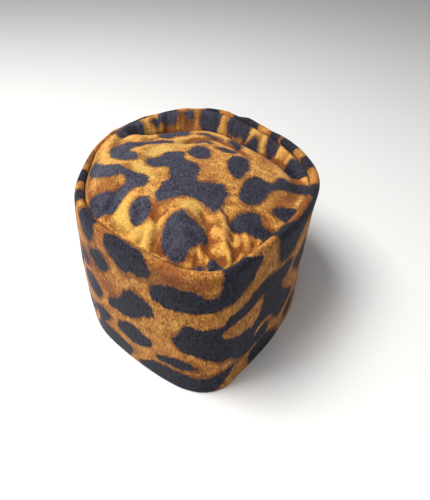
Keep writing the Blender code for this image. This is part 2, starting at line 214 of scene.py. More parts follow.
# Gold showing inside a spot
BAND_GAPS = (
    (17, 51, 15, 54, 18, 58, 20, 60, 24, 60, 31, 60, 36, 60, 40, 61, 44, 63, 49, 65, 52, 66, 53, 62, 52, 58,
     51, 52, 49, 48, 46, 45, 43, 42, 40, 44, 35, 45, 31, 46, 27, 47, 23, 49, 21, 50),
    (46, 30, 49, 34, 54, 37, 59, 38, 64, 37, 68, 34, 66, 30, 62, 32, 58, 34, 53, 33, 49, 30),
)
CROWN_SPOTS = (
    (-27, 5, -25, 9, -19, 11, -13, 11, -12, 6, -12, 1, -10, -2, -5, -4, -2, -7, 0, -13, -1, -19, -2, -25,
     -2, -31, 2, -32, 8, -30, 15, -30, 17, -33, 18, -38, 19, -43, 17, -47, 16, -53, 14, -60, 12, -64,
     9, -62, 5, -57, 2, -54, -3, -50, -7, -48, -12, -50, -17, -53, -22, -55, -25, -52, -27, -46, -25, -43,
     -24, -39, -23, -35, -20, -30, -19, -25, -20, -19, -21, -14, -25, -14, -32, -15, -36, -12, -38, -7,
     -36, -3, -32, -2, -29, 0),
    (-10, 13, -9, 19, -6, 24, -3, 26, 1, 26, 3, 23, 5, 18, 6, 12, 5, 6, 3, 3, 0, 2, -4, 3, -8, 6, -10, 9),
    (18, 0, 18, 5, 20, 11, 23, 14, 28, 14, 32, 12, 33, 6, 33, -1, 32, -7, 29, -13, 27, -19, 23, -20,
     21, -16, 18, -10, 17, -5),
    (9, 26, 11, 28, 16, 26, 21, 23, 25, 21, 24, 18, 20, 17, 16, 18, 13, 21, 10, 23),
    (28, -29, 28, -23, 32, -17, 36, -13, 39, -12, 43, -16, 48, -17, 50, -15, 52, -9, 56, -5, 62, -5, 66, -2,
     71, -3, 75, -8, 75, -16, 70, -19, 65, -17, 59, -17, 53, -22, 49, -25, 47, -27, 45, -32, 42, -37,
     39, -43, 35, -47, 29, -48, 26, -46, 25, -40, 26, -35),
    (17, -70, 20, -66, 23, -61, 26, -57, 31, -54, 37, -52, 40, -54, 39, -60, 43, -63, 49, -62, 53, -61,
     49, -66, 45, -70, 38, -74, 32, -72, 25, -73, 20, -72),
    (46, -46, 49, -42, 54, -38, 60, -37, 65, -38, 65, -43, 62, -48, 58, -55, 54, -52, 50, -49),
    (-18, -76, -16, -69, -12, -66, -7, -66, -3, -69, 1, -72, 4, -75, 7, -79, 9, -84, 4, -86, 0, -90,
     -3, -95, -5, -99, -10, -98, -13, -94, -17, -88, -19, -82),
    (-39, -57, -37, -52, -33, -49, -29, -50, -27, -55, -27, -62, -29, -68, -32, -71, -37, -69, -39, -63),
    (-75, 2, -73, 0, -69, -7, -65, -13, -58, -16, -51, -18, -47, -22, -41, -23, -36, -24, -32, -28,
     -31, -35, -34, -40, -39, -41, -41, -44, -43, -49, -46, -55, -50, -60, -55, -58, -59, -61, -64, -57,
     -68, -51, -68, -44, -63, -42, -58, -43, -53, -42, -50, -40, -46, -36, -46, -32, -50, -28, -53, -31,
     -57, -33, -62, -32, -67, -28, -72, -21, -75, -13, -77, -6),
    (-67, 16, -63, 19, -58, 18, -52, 19, -46, 24, -40, 28, -33, 32, -25, 31, -22, 27, -28, 25, -34, 25,
     -40, 22, -44, 18, -47, 12, -51, 8, -50, 4, -45, 1, -42, -3, -43, -7, -47, -9, -54, -10, -58, -6,
     -62, -2, -65, 6),
    (-35, 46, -34, 51, -30, 54, -25, 58, -20, 61, -16, 63, -12, 61, -13, 55, -12, 49, -15, 45, -22, 43,
     -25, 39, -27, 36, -32, 36, -35, 41),
    (-8, 50, -3, 53, 1, 53, 6, 50, 11, 47, 15, 43, 10, 44, 4, 47, -1, 49, -5, 49),
    (-8, 31, -5, 36, -2, 38, 3, 38, 7, 34, 6, 32, 1, 34, -3, 33, -6, 29),
    (17, 43, 20, 45, 24, 43, 28, 38, 29, 32, 26, 29, 23, 33, 20, 38),
    (-14, 85, -9, 87, -2, 87, 3, 84, 4, 77, 0, 74, -8, 74, -13, 78),
    (29, 77, 32, 75, 35, 73, 39, 72, 43, 69, 44, 65, 42, 61, 37, 59, 32, 61, 29, 68),
    (-5, 106, 4, 107, 12, 105, 15, 99, 12, 95, 8, 93, 3, 93, -4, 94, -7, 98, -6, 102),
    (-41, 98, -38, 102, -27, 105, -25, 98, -27, 92, -33, 90, -38, 86, -43, 82, -49, 79, -46, 84, -42, 88,
     -40, 93),
    (-39, 80, -35, 84, -30, 87, -24, 88, -17, 90, -12, 87, -18, 82, -26, 80, -33, 77),
    (-22, 99, -20, 102, -16, 103, -12, 102, -12, 99, -15, 98, -18, 99),
    (22, 100, 26, 98, 31, 92, 37, 85, 37, 79, 34, 76, 29, 80, 22, 86, 17, 89, 18, 93, 20, 96),
    (-52, 52, -49, 58, -44, 60, -38, 60, -35, 57, -40, 52, -46, 50, -50, 50),
    (-72, 46, -69, 58, -65, 68, -60, 76, -54, 76, -50, 70, -51, 60, -54, 50, -60, 43, -66, 42),
    (62, 30, 66, 33, 71, 29, 75, 22, 78, 14, 77, 6, 72, 6, 67, 9, 64, 16, 61, 24),
    (50, 63, 53, 64, 57, 58, 60, 50, 57, 45, 54, 46, 51, 51, 49, 57),
    (8, -98, 9, -94, 12, -93, 14, -96, 18, -98, 15, -101, 11, -104, 8, -102),
    (0, -100, 3, -98, 6, -99, 6, -103, 3, -105, 0, -103),
)
# Soft patches of the gold as (x, y, radius, strength): a strength of 1 is brown, and of -1 pale.
# The wide pale patches on the crown's left with y from -8 to 70 are painted light.
BAND_PATCHES = (
    (-74, 63, 12, 0.8), (-64, 60, 8, 0.8), (-12, 100, 7, 1.2), (3, 99, 7, 1.2), (-20, 101, 7, 1.1),
    (-3, 20, 8, 0.8), (8, 24, 8, 0.7), (-16, 55, 6, 0.7), (-14, 42, 6, 0.7), (-73, 27, 6, 0.8),
    (-72, 37, 5, 0.7), (20, 58, 5, 0.6), (50, 63, 5, 0.6), (81, 54, 9, 0.9), (-72, 90, 8, 0.7),
    (34, 20, 5, 0.7), (-70, 104, 8, 0.8), (86, 107, 8, 1.2), (99, 108, 8, 1.2), (112, 109, 8, 1.0),
    (-54, 111, 6, 0.9), (-43, 110, 6, 0.8), (-34, 109, 5, -0.6), (-12, 111, 4, -0.9), (3, 109, 6, -1.2),
    (47, 109, 6, -0.9), (-12, 57, 14, -0.7),
)
CROWN_PATCHES = (
    (-16, -56, 8, 0.9), (-26, -60, 5, 0.9), (8, -22, 8, 0.7), (4, -32, 6, 0.7), (5, -6, 5, 0.9),
    (-54, -36, 7, 1.0), (44, 24, 12, 0.7), (50, 14, 8, 0.6), (-52, 36, 8, 0.8), (-56, 22, 7, 0.6),
    (46, -36, 8, 0.6), (55, -30, 8, 0.6), (6, -68, 4, 0.8), (-20, -84, 5, 0.9), (36, 34, 8, 0.7),
    (-10, 62, 8, 0.7), (44, -55, 5, 0.9), (-62, -38, 6, 0.9), (30, -84, 6, 0.8), (-20, 96, 7, 1.0),
    (-12, 92, 6, 0.8), (52, 70, 7, 0.6), (64, 40, 4, 0.7), (10, -82, 4, 0.9), (-7, 103, 4, 0.8),
    (-30, 90, 3, 0.8), (-34, -75, 10, -1.0), (-27, -84, 6, -0.9), (-44, -56, 6, -0.7), (15, -56, 6, -0.9),
    (18, -70, 4, -0.9), (16, -86, 4, -0.7), (5, -95, 4, -0.7), (-39, -20, 8, -0.9), (-31, -29, 5, -0.9),
    (-30, 12, 8, -0.7), (9, -4, 5, -0.6), (34, 30, 6, -0.4), (61, 48, 5, -0.9), (47, 63, 4, -0.8),
    (40, 76, 4, -0.6), (-62, 11, 5, -0.4), (-66, -8, 14, -0.7), (-30, 22, 14, -0.6), (-22, -8, 12, -0.5),
    (-58, 40, 12, -0.6), (-46, 70, 10, -0.6), (-5, -58, 7, -0.9), (-30, -42, 6, -0.8), (-45, -65, 7, -0.8),
    (-53, -68, 4, 0.8), (20, -50, 5, 0.8), (19, -60, 4, 0.6),
)


def table_column(table, columns, name):
    return np.array([row[columns.index(name)] for row in table], float)


def round_table(table, columns, name, azimuth):
    """A column read smoothly all the way round, by cubic pieces between its rows."""
    at = table_column(table, columns, "azimuth_deg")
    value = table_column(table, columns, name)
    at = np.concatenate((at[-2:] - 360, at, at[:2] + 360))
    value = np.concatenate((value[-2:], value, value[:2]))
    slope = np.gradient(value, at)
    azimuth = np.mod(azimuth, 360.0)
    row = np.clip(np.searchsorted(at, azimuth, side="right") - 1, 0, len(at) - 2)
    span = at[row + 1] - at[row]
    t = (azimuth - at[row]) / span
    return ((1 + 2 * t) * (1 - t) ** 2 * value[row] + t * (1 - t) ** 2 * span * slope[row]
            + t * t * (3 - 2 * t) * value[row + 1] - t * t * (1 - t) * span * slope[row + 1])


def smooth_step(t):
    t = np.clip(t, 0.0, 1.0)
    return t * t * (3 - 2 * t)


def share_between(value, limits):
    """0 at the first limit and 1 at the second, smooth between."""
    first, second = limits
    return smooth_step((value - first) / (second - first))


def outline(name, azimuth):
    return round_table(OUTLINE, OUTLINE_COLUMNS, name, azimuth)


def wall_radius(azimuth, height):
    t = np.clip(height / BAND_HEIGHT, 0.0, 1.0)
    return (outline("rim_radius", azimuth) + outline("hem_out", azimuth) * (1 - t)
            + outline("middle_out", azimuth) * 4 * t * (1 - t))


OUTLINE_STEP = 0.5       # degrees either way, over which the outline's direction is taken


def outline_point(azimuth, height, inset):
    """A point of the wall, moved squarely inwards by the inset."""
    angle = np.radians(azimuth)
    radius = wall_radius(azimuth, height)
    ahead = wall_radius(azimuth + OUTLINE_STEP, height)
    behind = wall_radius(azimuth - OUTLINE_STEP, height)
    slope = (ahead - behind) / math.radians(2 * OUTLINE_STEP)
    along_x = slope * np.cos(angle) - radius * np.sin(angle)
    along_y = slope * np.sin(angle) + radius * np.cos(angle)
    length = np.hypot(along_x, along_y)
    x = radius * np.cos(angle) - inset * along_y / length
    y = radius * np.sin(angle) + inset * along_x / length
    return x, y


FRONT_EDGE = 272.0       # azimuth of the front edge, from which the band is measured
SECTORS = 460
FINE_SECTORS = 3600      # steps in which the rim's length is measured


def round_the_rim():
    """Equal steps round the rim: azimuths, and distances along the rim from the front edge."""
    fine = np.linspace(0.0, 360.0, FINE_SECTORS + 1)
    x, y = outline_point(fine, BAND_HEIGHT, 0.0)
    length = np.concatenate(([0.0], np.cumsum(np.hypot(np.diff(x), np.diff(y)))))
    azimuth = np.interp(np.arange(SECTORS) * length[-1] / SECTORS, length, fine)
    along = np.interp(azimuth, fine, length) - np.interp(FRONT_EDGE, fine, length)
    along = np.mod(along + length[-1] / 2, length[-1]) - length[-1] / 2
    return azimuth, along, length[-1]


AZIMUTH, ALONG, PERIMETER = round_the_rim()
RANDOM_CELLS = 256


def wander(x, y, size, seed, wrap=None):
    """Smooth random values from -1 to 1 over about the given size. Along x it can close on itself."""
    cells = RANDOM_CELLS if wrap is None else max(3, round(wrap / size))
    grid = np.random.default_rng(seed).uniform(-1.0, 1.0, (cells, RANDOM_CELLS))
    gx = x / size if wrap is None else x / wrap * cells
    gy = y / size
    ix, iy = np.floor(gx).astype(int), np.floor(gy).astype(int)
    fx, fy = smooth_step(gx - ix), smooth_step(gy - iy)
    column, next_column = ix % cells, (ix + 1) % cells
    row, next_row = iy % RANDOM_CELLS, (iy + 1) % RANDOM_CELLS
    low = grid[column, row] * (1 - fx) + grid[next_column, row] * fx
    high = grid[column, next_row] * (1 - fx) + grid[next_column, next_row] * fx
    return low * (1 - fy) + high * fy


def waves(table, x, y, wrap=None):
    """The sum of random waves, a row of (height, size, seed) for each."""
    total = 0.0
    for height, size, seed in table:
        total = total + height * wander(x, y, size, seed, wrap)
    return total


def rounded(chart):
    """A charted outline with its corners cut twice."""
    points = np.array(chart, float).reshape(-1, 2)
    for _ in range(2):
        after = np.roll(points, -1, axis=0)
        pairs = np.stack((0.75 * points + 0.25 * after, 0.25 * points + 0.75 * after), axis=1)
        points = pairs.reshape(-1, 2)
    return points


FAR = 9.0                # distances to the print's edges are kept up to this, in millimetres


def distance_inside(x, y, charts, shift=(0.0, 0.0)):
    """How far each point is outside the nearest charted shape, negative inside it."""
    nearest = np.full(x.shape, FAR)
    for chart in charts:
        ring = rounded(chart) + shift
        low, high = ring.min(axis=0) - FAR, ring.max(axis=0) + FAR
        near = np.flatnonzero((x > low[0]) & (x < high[0]) & (y > low[1]) & (y < high[1]))
        if not len(near):
            continue
        px, py = x[near, None], y[near, None]
        ax, ay = ring[:, 0], ring[:, 1]
        bx, by = np.roll(ax, -1), np.roll(ay, -1)
        t = ((px - ax) * (bx - ax) + (py - ay) * (by - ay)) / ((bx - ax) ** 2 + (by - ay) ** 2 + TINY)
        t = np.clip(t, 0.0, 1.0)
        distance = np.hypot(px - ax - t * (bx - ax), py - ay - t * (by - ay)).min(axis=1)
        crosses = ((ay > py) != (by > py)) & (px < ax + (py - ay) * (bx - ax) / (by - ay + TINY))
        inside = crosses.sum(axis=1) % 2 == 1
        nearest[near] = np.minimum(nearest[near], np.where(inside, -distance, distance))
    return nearest


def spots_at(x, y, spots, gaps=(), shifts=((0.0, 0.0),)):
    """Distance outside the print's spots, which repeat at each shift."""
    distance = np.full(x.shape, FAR)
    for shift in shifts:
        spot = distance_inside(x, y, spots, shift)
        if gaps:
            spot = np.maximum(spot, -distance_inside(x, y, gaps, shift))
        distance = np.minimum(distance, spot)
    return distance


PATCH_LIMITS = (-1.0, 1.2)


def patches_at(x, y, patches, shifts=((0.0, 0.0),)):
    """How brown the gold is, or below nought how pale."""
    total = np.zeros(x.shape)
    for shift_x, shift_y in shifts:
        for patch_x, patch_y, radius, strength in patches:
            away = (x - patch_x - shift_x) ** 2 + (y - patch_y - shift_y) ** 2
            total += strength * np.exp(-away / radius ** 2)
    return np.clip(total, *PATCH_LIMITS)


def add_object(name, data):
    made = bpy.data.objects.new(name, data)
    bpy.context.scene.collection.objects.link(made)
    return made


def add_piece(name, points, faces, materials, slots=None):
    """A smooth-shaded object from points in millimetres."""
    points = (np.asarray(points, float) + (CENTRE_X, 0.0, 0.0)) * MM
    mesh = bpy.data.meshes.new(name)
    mesh.from_pydata(points.tolist(), [], faces)
    for material in materials:
        mesh.materials.append(material)
    if slots is not None:
        mesh.polygons.foreach_set("material_index", slots)
    mesh.shade_smooth()
    return add_object(name, mesh)


def set_values(piece, **values):
    """Gives a piece's points the values that its velvet reads."""
    for name, numbers in values.items():
        layer = piece.data.attributes.new(name, "FLOAT", "POINT")
        layer.data.foreach_set("value", np.asarray(numbers, np.float32))


def ring_faces(rows, closed):
    """Quads between rings of SECTORS points each; closed joins the last ring to the first."""
    faces = []
    for row in range(rows if closed else rows - 1):
        above = (row + 1) % rows
        for sector in range(SECTORS):
            turn = (sector + 1) % SECTORS
            faces.append((row * SECTORS + sector, row * SECTORS + turn,
                          above * SECTORS + turn, above * SECTORS + sector))
    return faces


# Nodes of a material

def node(tree, kind, **settings):
    made = tree.nodes.new(kind)
    for key, value in settings.items():
        setattr(made, key, value)
    return made


def feed(tree, socket, value):
    """Gives a socket a number or a colour, or links it to another node's output."""
    if isinstance(value, (int, float)):
        socket.default_value = value
    elif isinstance(value, tuple):
        socket.default_value = (*value, 1.0)
    else:
        tree.links.new(value, socket)


def math_node(tree, operation, *values):
    made = node(tree, "ShaderNodeMath", operation=operation)
    for socket, value in zip(made.inputs, values):
        feed(tree, socket, value)
    return made.outputs["Value"]


def step(tree, value, low, high):
    """0 at low and 1 at high, smooth between. With low above high it runs the other way."""
    made = node(tree, "ShaderNodeMapRange", interpolation_type="SMOOTHSTEP", clamp=True)
    feed(tree, made.inputs["Value"], value)
    made.inputs["From Min"].default_value = low
    made.inputs["From Max"].default_value = high
    return made.outputs["Result"]


def mix(tree, factor, under, over, blend="MIX"):
    made = node(tree, "ShaderNodeMix", data_type="RGBA", blend_type=blend, clamp_factor=True)
    colours = [socket for socket in made.inputs if socket.type == "RGBA"]
    for socket, value in zip((made.inputs[0], *colours), (factor, under, over)):
        feed(tree, socket, value)
    return next(socket for socket in made.outputs if socket.type == "RGBA")


def tinted(tree, colour, tint):
    return mix(tree, 1.0, colour, tint, "MULTIPLY")


def lay(tree, under, over, value, low, high, share):
    """Lays a colour over another: not at all where the value is low, by the share where it is high."""
    return mix(tree, math_node(tree, "MULTIPLY", step(tree, value, low, high), share), under, over)


def noise(tree, vector, scale, detail, roughness):
    """Noise from about 0 to 1, its scale in features to the metre."""
    made = node(tree, "ShaderNodeTexNoise", noise_dimensions="3D")
    feed(tree, made.inputs["Vector"], vector)
    made.inputs["Scale"].default_value = scale
    made.inputs["Detail"].default_value = detail
    made.inputs["Roughness"].default_value = roughness
    return made.outputs["Fac"]


def new_material(name, settings):
    """A material, its nodes and its shader, which has the settings."""
    material = bpy.data.materials.new(name)
    material.use_nodes = True
    tree = material.node_tree
    shader = tree.nodes["Principled BSDF"]
    for socket, value in settings.items():
        feed(tree, shader.inputs[socket], value)
    return material, tree, shader


def add_bump(tree, shader, height, strength, distance):
    bump = node(tree, "ShaderNodeBump")
    bump.inputs["Strength"].default_value = strength
    bump.inputs["Distance"].default_value = distance
    feed(tree, bump.inputs["Height"], height)
    feed(tree, shader.inputs["Normal"], bump.outputs["Normal"])


# The velvet

# Colours, linear: of the print, then of the painted shade in the creases and the seam, of the painted
# shade towards the crown's front and of the painted sheen towards its left
BRIGHT_GOLD = (0.62, 0.30, 0.075)
GOLD = (0.42, 0.175, 0.038)
PALE_GOLD = (0.64, 0.385, 0.092)
ORANGE = (0.34, 0.110, 0.016)
AMBER = (0.22, 0.072, 0.015)
RUST = (0.25, 0.080, 0.027)
UMBER = (0.15, 0.048, 0.014)
# painted shade in the creases
CREASE_SHADE_BROWN = (0.17, 0.052, 0.015)
NAVY = (0.011, 0.011, 0.018)
SLATE = (0.042, 0.041, 0.057)
# painted shade in the seam inside the rim
SEAM_SHADE_BROWN = (0.030, 0.013, 0.007)
# painted shade, darker and more orange, towards the crown's front
FRONT_SHADE_TINT = (0.98, 0.88, 0.62)
# painted sheen, paler ink, towards the crown's left
LEFT_SHEEN_TINT = (1.7, 1.7, 1.7)

# How the two velvets differ. pile draws the grain out the way the pile lies. shade tints the gold, and
# slate is how light the ink is; both are lower on the band, as painted shade. speckle is how much single
# hairs show, and ink_speckle the share of it in the ink. halo_drift is how far the spots' brown halos
# come and go, and halo_limits where they start and are full, in millimetres. front is the share of the
# painted shade towards the crown's front, and left that of the painted sheen towards its left.
BAND_LOOK = {
    "pile": (1.0, 1.0, 0.45), "shade": (0.90, 0.90, 0.89), "slate": 0.75, "speckle": 1.7,
    "ink_speckle": 1.0, "halo_drift": 14.0, "halo_limits": (-3.62, -0.02), "front": 0.0, "left": 0.0,
}
CROWN_LOOK = {
    "pile": (1.0, 0.5, 1.0), "shade": (0.95, 1.01, 1.05), "slate": 1.0, "speckle": 1.1,
    "ink_speckle": 0.5, "halo_drift": 6.0, "halo_limits": (-3.38, 0.22), "front": 0.4, "left": 1.0,
}

# Noises as (features to the metre, detail, roughness, whether drawn out with the pile)
NOISES = {
    "hair": (1400.0, 2.0, 0.6, True),
    "grain": (760.0, 3.0, 0.65, True),
    "mottle": (190.0, 3.0, 0.6, False),
    "broad": (38.0, 2.0, 0.5, False),
    "nap": (600.0, 2.0, 0.7, True),
}
PIECE_VALUES = ("print_edge", "print_patch", "crease", "seam")

# What the looks follow: sums of noises, which swing about nought, and of values that the piece's
# points carry, each times its share. depth is how far inside a spot a point is, in millimetres. The
# crease shares paint shade into the creases and highlight onto the ridges, and the driver of the pale
# gold and the orange mixes painted light and shade in with the gold's own paler and more orange patches.
DRIVERS = {
    "depth": {"print_edge": -1.0, "mottle": -3.6, "grain": -2.6, "hair": -1.8},
    "tone_and_crease_shade": {"grain": 0.55, "hair": 0.45, "mottle": 0.55, "crease": -0.26},
    "pale_and_lit": {"print_patch": -1.0, "broad": 2.2, "grain": 1.2},
    "brown": {"print_patch": 1.0, "broad": 0.7, "grain": -1.5, "mottle": -0.9},
    "painted_crease_shade": {"crease": 1.0, "grain": 1.8, "mottle": 1.4},
    "dusk": {"hair": 0.5, "nap": 0.5, "crease": -0.06},
    "flick": {"hair": 1.0, "nap": 1.0},
    "painted_seam_shade": {"seam": 1.0, "mottle": 1.6},
    "relief": {"hair": 0.45, "grain": 0.55},
}
PATCH_HALO = 1.5         # how far a brown patch draws a spot's halo out

# Layers of the gold over the amber as (colour, driver, where it starts, where it is full, share).
# Through their drivers the first two carry painted shade in the creases and painted highlight on the
# ridges, and the pale gold and the orange carry painted light and shade as well as patches of the cloth.
GOLD_LAYERS = (
    (GOLD, "tone_and_crease_shade", -0.20, 0.0, 1.0),
    (BRIGHT_GOLD, "tone_and_crease_shade", -0.02, 0.16, 1.0),
    (PALE_GOLD, "pale_and_lit", 0.1, 1.0, 0.75),
    (ORANGE, "pale_and_lit", -0.1, -0.8, 0.45),
    (RUST, "brown", 0.40, 1.10, 0.85),
)
HALO_SHARE = 0.75
# how the painted shade in the creases comes in, and how strong it is at most
CREASE_SHADE_LIMITS = (0.3, 2.1)
CREASE_SHADE_SHARE = 0.65
# where the painted shade towards the front comes in
FRONT_SHADE_LIMITS = (-0.035, -0.080)  # along y, in metres
INK_LIMITS = (-0.85, 1.0)        # in millimetres of depth
DUSK_LIMITS = (-0.18, 0.18)
# where the painted sheen towards the left comes in
LEFT_SHEEN_LIMITS = (0.055, -0.055)    # along x, in metres
SPECKLE_MEAN = 1.04
SPECKLE_MOST = 1.16
# how the painted shade in the seam comes in, and how strong it is at most
SEAM_SHADE_LIMITS = (0.1, 1.1)
SEAM_SHADE_SHARE = 0.6
VELVET_SHADER = {
    "Roughness": 0.95, "Specular IOR Level": 0.12, "Sheen Weight": 0.10, "Sheen Roughness": 0.4,
    "Sheen Tint": (0.86, 0.88, 1.0),
}


def driver(tree, parts, shares):
    """The sum of the parts, each times its share."""
    total = -sum(share for name, share in shares.items() if name in NOISES) / 2
    for name, share in shares.items():
        total = math_node(tree, "MULTIPLY_ADD", parts[name], share, total)
    return total


def velvet_parts(tree, look):
    """What the velvet follows, by name: the place, the noises, the piece's values and the drivers."""
    place = node(tree, "ShaderNodeTexCoord").outputs["Object"]
    lie = node(tree, "ShaderNodeMapping", vector_type="POINT")
    lie.inputs["Scale"].default_value = look["pile"]
    feed(tree, lie.inputs["Vector"], place)
    sides = node(tree, "ShaderNodeSeparateXYZ")
    feed(tree, sides.inputs["Vector"], place)
    parts = {"x": sides.outputs["X"], "y": sides.outputs["Y"]}
    for name, (scale, detail, roughness, with_pile) in NOISES.items():
        parts[name] = noise(tree, lie.outputs["Vector"] if with_pile else place, scale, detail, roughness)
    for name in PIECE_VALUES:
        parts[name] = node(tree, "ShaderNodeAttribute", attribute_name=name).outputs["Fac"]
    for name, shares in DRIVERS.items():
        parts[name] = driver(tree, parts, shares)
    halo = {"depth": 1.0, "print_patch": PATCH_HALO, "broad": look["halo_drift"]}
    parts["halo"] = driver(tree, parts, halo)
    return parts


def gold_colour(tree, parts, look):
    """The gold between the spots, in patches and brown round the spots, with painted shade in the creases
    and towards the front, and painted highlight on the ridges.
    """
    def shaded(colour):
        return tuple(a * b for a, b in zip(look["shade"], colour))

    gold = shaded(AMBER)
    for colour, name, low, high, share in GOLD_LAYERS:
        gold = lay(tree, gold, shaded(colour), parts[name], low, high, share)
    gold = lay(tree, gold, UMBER, parts["halo"], *look["halo_limits"], HALO_SHARE)
    # painted shade in the creases
    gold = lay(tree, gold, CREASE_SHADE_BROWN, parts["painted_crease_shade"], *CREASE_SHADE_LIMITS, CREASE_SHADE_SHARE)
    # painted shade towards the front
    return lay(tree, gold, tinted(tree, gold, FRONT_SHADE_TINT), parts["y"], *FRONT_SHADE_LIMITS, look["front"])


def ink_colour(tree, parts, look):
    """The dark of the spots, mottled with the pile, with painted shade in the creases and painted sheen
    that makes it paler towards the left.
    """
    slate = tuple(look["slate"] * value for value in SLATE)
    ink = lay(tree, NAVY, slate, parts["dusk"], *DUSK_LIMITS, 1.0)
    # paler towards the left as painted sheen
    return lay(tree, ink, tinted(tree, ink, LEFT_SHEEN_TINT), parts["x"], *LEFT_SHEEN_LIMITS, look["left"])


def speckled(tree, parts, look, printed, ink):
    """The printed colour with single hairs brighter and darker, fainter in the ink."""
    flick = math_node(tree, "MULTIPLY_ADD", parts["flick"], look["speckle"], SPECKLE_MEAN)
    flick = math_node(tree, "MINIMUM", flick, SPECKLE_MOST)
    share = math_node(tree, "MULTIPLY_ADD", ink, look["ink_speckle"] - 1.0, 1.0)
    return mix(tree, share, printed, tinted(tree, printed, flick))


def velvet(name, look):
    """Printed velvet, with painted shade in its creases and its seam."""
    material, tree, shader = new_material(name, VELVET_SHADER)
    parts = velvet_parts(tree, look)
    ink = step(tree, parts["depth"], *INK_LIMITS)
    printed = mix(tree, ink, gold_colour(tree, parts, look), ink_colour(tree, parts, look))
    printed = speckled(tree, parts, look, printed, ink)
    # painted shade in the seam
    printed = lay(tree, printed, SEAM_SHADE_BROWN, parts["painted_seam_shade"], *SEAM_SHADE_LIMITS, SEAM_SHADE_SHARE)
    feed(tree, shader.inputs["Base Color"], printed)
    add_bump(tree, shader, parts["relief"], strength=0.5, distance=0.0008)
    return material


# The wrong side

LINING_DARK = (0.035, 0.026, 0.020)
LINING_BROWN = (0.060, 0.044, 0.034)
LINING_THREAD = (0.095, 0.075, 0.06)
THREAD_LIMITS = (0.35, 0.7)
THREAD_SHARE = 0.5


def lining():
    """Plain dark cotton on the wrong side."""
    material, tree, shader = new_material("lining", {"Roughness": 0.9, "Specular IOR Level": 0.2})
    place = node(tree, "ShaderNodeTexCoord").outputs["Object"]
    weave = noise(tree, place, scale=1600.0, detail=2.0, roughness=0.6)
    cloudy = noise(tree, place, scale=60.0, detail=2.0, roughness=0.5)
    colour = mix(tree, cloudy, LINING_DARK, LINING_BROWN)
    colour = lay(tree, colour, LINING_THREAD, weave, *THREAD_LIMITS, THREAD_SHARE)
    feed(tree, shader.inputs["Base Color"], colour)
    add_bump(tree, shader, weave, strength=0.3, distance=0.0004)
    return material


# The band

HEM_ROUND = 1.2          # how far the hem's edges are rounded
HEM_BEND_IN = 0.35       # where the rounding bends, as a share of it inwards and upwards
HEM_BEND_UP = 0.2
HEM_PRINT = 0.4          # print height at that bend
WALL_STEP = 1.5          # height of a row of the wall
ROLL_STEPS = 9           # rows in each quarter of the rim
INSIDE_ROWS = 14

# Waves of the stiff wall and pucker of the rim, strongest at the back, as (height, size, seed)
WALL_WAVES = ((0.55, 46.0, 11), (0.22, 17.0, 12))
PUCKER_WAVES = ((1.0, 13.0, 13),)
HEM_HOLDS = 12.0         # the wall's waves grow over this height above the hem
RIM_HOLDS = 14.0         # and fade over this height, to end RIM_SLACK above the band
RIM_SLACK = 2.0
PUCKER_LEAST = 0.3
PUCKER_BACK = 0.9        # so much more at the back
PUCKER_TURN = 8.0        # degrees by which the middle of that is turned away from azimuth 90
PUCKER_SINES = (0.3, 0.7)    # sines of the azimuth from there, between which it grows
PUCKER_HEIGHTS = (96.0, 104.0)

PRINT_COLUMNS = 3        # the print is repeated this often round the band
PRINT_DROP = 37.0        # how far each repeat stands above the one before
REPEAT_TOP = 84.0        # the rim's own spots are charted all the way round, so repeats end here
FRONT_FROM = -90.0       # between these two the front is charted and nothing is repeated
FRONT_TO = 124.0
FRONT_WAVES = ((5.0, 16.0, 41),)
REPEAT_MARGIN = 12.0     # this near to the rim or the front the repeated spots get smaller
REPEAT_SHRINK = 9.0      # by up to this on all sides

# Painted shade in the seam: it comes in over the first print heights, and the rim's width sets how strong
# it is
SEAM_SHADE = (110.5, 113.0)  # print heights over which the rim turns down into the seam
SEAM_WIDTHS = (3.8, 5.8)     # a rim of the first width hides the seam, and one of the second shows it


def band_section():
    """Rows of (inset, height, print height), up the outside, over the rim and down the inside."""
    half = outline("rim_width", AZIMUTH) / 2
    flat = np.zeros(SECTORS)
    bend_in, bend_up = HEM_BEND_IN * HEM_ROUND, HEM_BEND_UP * HEM_ROUND
    shoulder = BAND_HEIGHT - RIM_OUTER_TURN
    rows = [(flat + HEM_ROUND, 0.0, 0.0), (flat + bend_in, bend_up, HEM_PRINT)]
    rows += [(flat, height, height) for height in np.arange(HEM_ROUND, shoulder, WALL_STEP)]
    printed = shoulder
    before = (flat, shoulder)
    for turn in range(2 * ROLL_STEPS + 1):
        angle = math.pi / 2 * turn / ROLL_STEPS
        tall = RIM_OUTER_TURN if turn < ROLL_STEPS else RIM_INNER_TURN
        inset = half - half * math.cos(angle)
        height = BAND_HEIGHT - tall * (1 - math.sin(angle))
        printed = printed + np.hypot(inset - before[0], height - before[1])
        rows.append((inset, height, printed))
        before = (inset, height)
    inner_top = BAND_HEIGHT - RIM_INNER_TURN - RIM_TAPER
    for height in np.linspace(inner_top, HEM_ROUND, INSIDE_ROWS):
        rows.append((flat + BAND_WALL, height, printed + inner_top - height))
    rows.append((flat + BAND_WALL - bend_in, bend_up, printed + inner_top))
    rows.append((flat + BAND_WALL - HEM_ROUND, 0.0, printed + inner_top))
    return rows


